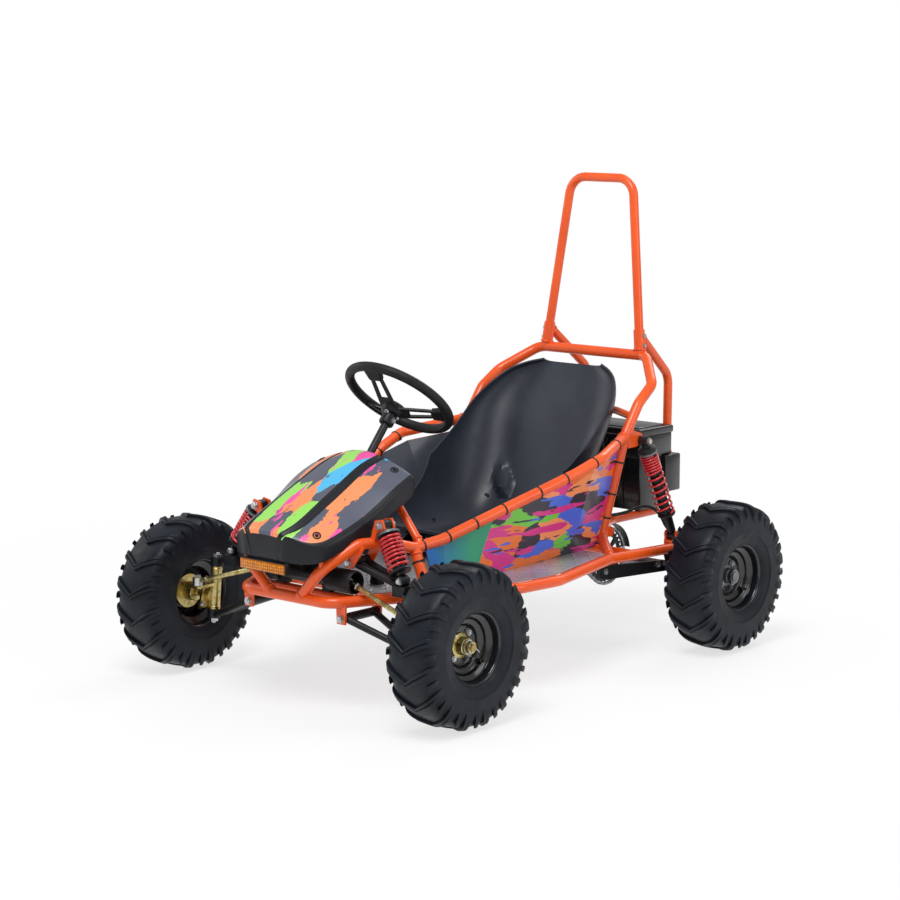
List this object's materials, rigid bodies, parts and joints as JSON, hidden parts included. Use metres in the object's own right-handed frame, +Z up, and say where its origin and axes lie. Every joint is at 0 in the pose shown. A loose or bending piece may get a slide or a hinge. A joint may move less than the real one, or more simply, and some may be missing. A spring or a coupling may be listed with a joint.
{
  "type": "electric off-road buggy",
  "caption": "Small single-seat electric off-road buggy: tube frame, bucket seat, roll bar, knobbly tyres, rack steering and live rear axle.",
  "frame": {"origin": "on the ground under the middle of the four wheels", "axes": "+X to the vehicle's left, -Y to its nose, +Z up"},
  "size_m": [0.956, 1.316, 1.115],
  "materials": {
    "battery_case": "gloss",
    "black_paint": "satin",
    "boot_rubber": "matt",
    "cowl_plastic": "gloss",
    "frame_paint": "gloss",
    "grip": "satin",
    "motor_case": "satin",
    "panel_plastic": "gloss",
    "reflector": "gloss",
    "seat_plastic": "matt",
    "spring_paint": "gloss",
    "steel": "satin",
    "tread_plate": "satin",
    "tyre": "matt",
    "yellow_zinc": "satin"
  },
  "bodies": {
    "chassis": {"lower_rail": "frame_paint", "cross_members": "frame_paint", "main_hoop": "frame_paint", "roll_bar": "frame_paint", "rear_stays": "frame_paint", "upper_rails": "frame_paint", "front_struts": "frame_paint", "rear_cross_tube": "frame_paint", "battery_tray": "frame_paint", "rear_arm": "frame_paint", "frame_brackets": "frame_paint", "seat_bar": "frame_paint", "column_support": "frame_paint", "cowl_posts": "frame_paint", "floor_plate": "tread_plate", "seat": "seat_plastic", "seat_brackets": "black_paint", "side_panels": "panel_plastic", "nose_cowl": "cowl_plastic", "front_reflector": "reflector", "battery_box": "battery_case", "battery_lid": "battery_case", "control_box": "battery_case", "lower_arms": "black_paint", "upper_arms": "black_paint", "dampers": "black_paint", "coil_springs": "spring_paint", "rack_housing": "black_paint", "rack_boots": "boot_rubber", "motor": "motor_case", "brake_caliper": "black_paint", "axle_carriers": "black_paint", "pedals": "black_paint", "chain_guard": "black_paint", "drive_chain": "steel", "brake_hose": "boot_rubber"},
    "steering": {"steering_shaft": "black_paint", "steering_wheel": "grip"},
    "rack": {"rack_bar": "steel", "tie_rods": "yellow_zinc"},
    "knuckle_left": {"knuckle_left": "yellow_zinc"},
    "knuckle_right": {"knuckle_right": "yellow_zinc"},
    "wheel_front_left": {"tyre_front_left": "tyre", "rim_front_left": "black_paint", "hub_front_left": "yellow_zinc"},
    "wheel_front_right": {"tyre_front_right": "tyre", "rim_front_right": "black_paint", "hub_front_right": "yellow_zinc"},
    "rear_axle": {"rear_axle": "steel", "rear_tyres": "tyre", "rear_rims": "black_paint", "rear_hubs": "steel", "sprocket": "steel", "brake_disc": "steel"}
  },
  "joints": [
    {"name": "steering_turn", "type": "hinge", "parent": "chassis", "child": "steering", "pos_m": [0, -0.231, 0.606], "axis": [0, 0.6452, 0.764], "range_deg": [-110, 110]},
    {"name": "rack_slide", "type": "slide", "parent": "chassis", "child": "rack", "axis": [1, 0, 0], "range_m": [-0.02442, 0.02442]},
    {"name": "kingpin_left", "type": "hinge", "parent": "chassis", "child": "knuckle_left", "pos_m": [0.33, -0.465, 0.254], "axis": [0, 0.1012, 0.9949], "range_deg": [-25.1, 25.1]},
    {"name": "kingpin_right", "type": "hinge", "parent": "chassis", "child": "knuckle_right", "pos_m": [-0.33, -0.465, 0.254], "axis": [0, 0.1012, 0.9949], "range_deg": [-25.1, 25.1]},
    {"name": "front_wheel_left", "type": "hinge", "parent": "knuckle_left", "child": "wheel_front_left", "pos_m": [0.417, -0.48, 0.178], "axis": [1, 0, 0], "continuous": true},
    {"name": "front_wheel_right", "type": "hinge", "parent": "knuckle_right", "child": "wheel_front_right", "pos_m": [-0.417, -0.48, 0.178], "axis": [1, 0, 0], "continuous": true},
    {"name": "rear_axle_spin", "type": "hinge", "parent": "chassis", "child": "rear_axle", "pos_m": [0, 0.48, 0.178], "axis": [1, 0, 0], "continuous": true}
  ],
  "couplings": [
    {"joint": "rack_slide", "follows": "steering_turn", "m_per_rad": 0.012615},
    {"joint": "kingpin_left", "follows": "steering_turn", "ratio": 0.22727},
    {"joint": "kingpin_right", "follows": "steering_turn", "ratio": 0.22727}
  ]
}
